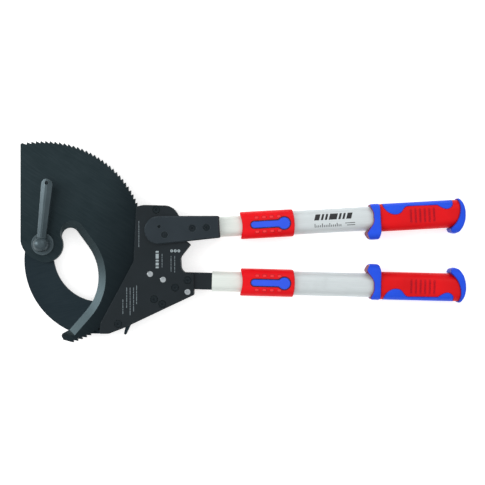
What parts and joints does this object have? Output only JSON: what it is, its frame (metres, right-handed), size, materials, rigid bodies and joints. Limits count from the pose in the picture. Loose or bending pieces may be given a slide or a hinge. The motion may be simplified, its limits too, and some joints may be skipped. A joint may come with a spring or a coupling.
{
  "type": "ratchet cable cutter",
  "caption": "Ratchet cable cutter with a hooked jaw, a toothed swinging blade, two pawls and two latched telescopic handles.",
  "frame": {"origin": "on the axis of the blade's pivot, at the flat rear face of the pivot bolt's head, which the tool lies on", "axes": "+X along the handles, from the jaw to the grips; +Y to the side of the upper handle; +Z along the pivot, to the front of the tool"},
  "size_m": [0.6761, 0.3069, 0.0583],
  "materials": {
    "blackened_steel": "burnished, oiled black",
    "blade_steel": "black, finely ground",
    "lever_steel": "satin black paint",
    "cast_grey": "satin grey, cast",
    "bright_steel": "ground pin",
    "screw_steel": "black oxide",
    "spring_steel": "oiled",
    "bush_bronze": "sintered bronze",
    "inner_tube": "clear anodised",
    "outer_tube": "satin anodised",
    "red_plastic": "moulded, fine grain",
    "blue_plastic": "moulded, soft",
    "black_plastic": "moulded"
  },
  "bodies": {
    "root": {"fixed_jaw": "blackened_steel", "front_plate": "lever_steel", "rear_plate": "lever_steel", "top_spacer": "blackened_steel", "bottom_spacer": "blackened_steel", "nose_spacer": "blackened_steel", "pivot_bolt": "screw_steel", "pivot_washer": "cast_grey", "plate_screws": "screw_steel", "plate_nuts": "screw_steel", "holding_pawl_pin": "bright_steel", "spring_post": "bright_steel", "plate_dowel": "bright_steel", "holding_pawl_spring": "spring_steel", "lower_bar": "lever_steel", "lower_inner_tube": "inner_tube", "lower_guide_bush": "black_plastic"},
    "blade": {"moving_blade": "blade_steel", "blade_bush": "bush_bronze"},
    "clamp_lever_body": {"clamp_lever": "cast_grey", "lever_end_plug": "screw_steel"},
    "upper_lever": {"front_lever_plate": "lever_steel", "rear_lever_plate": "lever_steel", "upper_handle_block": "lever_steel", "lever_pivot_pin": "screw_steel", "drive_pawl_pin": "screw_steel", "lever_screws": "screw_steel", "upper_inner_tube": "inner_tube", "upper_guide_bush": "black_plastic"},
    "drive_pawl_body": {"drive_pawl": "blackened_steel", "drive_pawl_spring": "spring_steel"},
    "holding_pawl_body": {"holding_pawl": "blackened_steel"},
    "upper_slider": {"upper_outer_tube": "outer_tube", "upper_clamp_housing": "red_plastic", "upper_latch_pin": "bright_steel", "upper_latch_spring": "spring_steel", "upper_grip_body": "red_plastic", "upper_grip_guard": "blue_plastic", "upper_grip_inlay": "blue_plastic", "upper_grip_end_cap": "blue_plastic", "upper_tube_plug": "black_plastic"},
    "upper_latch_body": {"upper_latch": "blue_plastic", "upper_brake_shoe": "black_plastic"},
    "lower_slider": {"lower_outer_tube": "outer_tube", "lower_clamp_housing": "red_plastic", "lower_latch_pin": "bright_steel", "lower_latch_spring": "spring_steel", "lower_grip_body": "red_plastic", "lower_grip_guard": "blue_plastic", "lower_grip_inlay": "blue_plastic", "lower_grip_end_cap": "blue_plastic", "lower_tube_plug": "black_plastic"},
    "lower_latch_body": {"lower_latch": "blue_plastic", "lower_brake_shoe": "black_plastic"}
  },
  "joints": [
    {"name": "blade_swing", "type": "hinge", "parent": "root", "child": "blade", "pos_m": [0, 0, 0.024], "axis": [0, 0, 1], "range_deg": [-93.6, 140.4]},
    {"name": "clamp_lever_turn", "type": "hinge", "parent": "root", "child": "clamp_lever_body", "pos_m": [0, 0, 0.04], "axis": [0, 0, 1], "range_deg": [0, 180]},
    {"name": "upper_handle_swing", "type": "hinge", "parent": "root", "child": "upper_lever", "pos_m": [0.178, 0.0263, 0.02], "axis": [0, 0, 1], "range_deg": [0, 45]},
    {"name": "drive_pawl_turn", "type": "hinge", "parent": "upper_lever", "child": "drive_pawl_body", "pos_m": [0.1862, 0.014, 0.024], "axis": [0, 0, 1], "range_deg": [-53.5, 0]},
    {"name": "holding_pawl_release", "type": "hinge", "parent": "root", "child": "holding_pawl_body", "pos_m": [0.1639, -0.0456, 0.024], "axis": [0, 0, 1], "range_deg": [-2.5, 8]},
    {"name": "upper_handle_slide", "type": "slide", "parent": "upper_lever", "child": "upper_slider", "axis": [0.9984, 0.0558, 0], "range_m": [0, 0.19]},
    {"name": "upper_latch_press", "type": "hinge", "parent": "upper_slider", "child": "upper_latch_body", "pos_m": [0.34174, 0.03021, 0.0336], "axis": [-0.0558, 0.9984, 0], "range_deg": [0, 4], "stiffness_Nm_per_rad": 0.6, "springref_deg": -17.19},
    {"name": "lower_handle_slide", "type": "slide", "parent": "root", "child": "lower_slider", "axis": [0.9997, -0.0253, 0], "range_m": [0, 0.19]},
    {"name": "lower_latch_press", "type": "hinge", "parent": "lower_slider", "child": "lower_latch_body", "pos_m": [0.34195, -0.05897, 0.0336], "axis": [0.0253, 0.9997, 0], "range_deg": [0, 4], "stiffness_Nm_per_rad": 0.6, "springref_deg": -17.19}
  ],
  "couplings": [
    {"joint": "drive_pawl_turn", "follows": "upper_handle_swing", "ratio": -1.17}
  ]
}
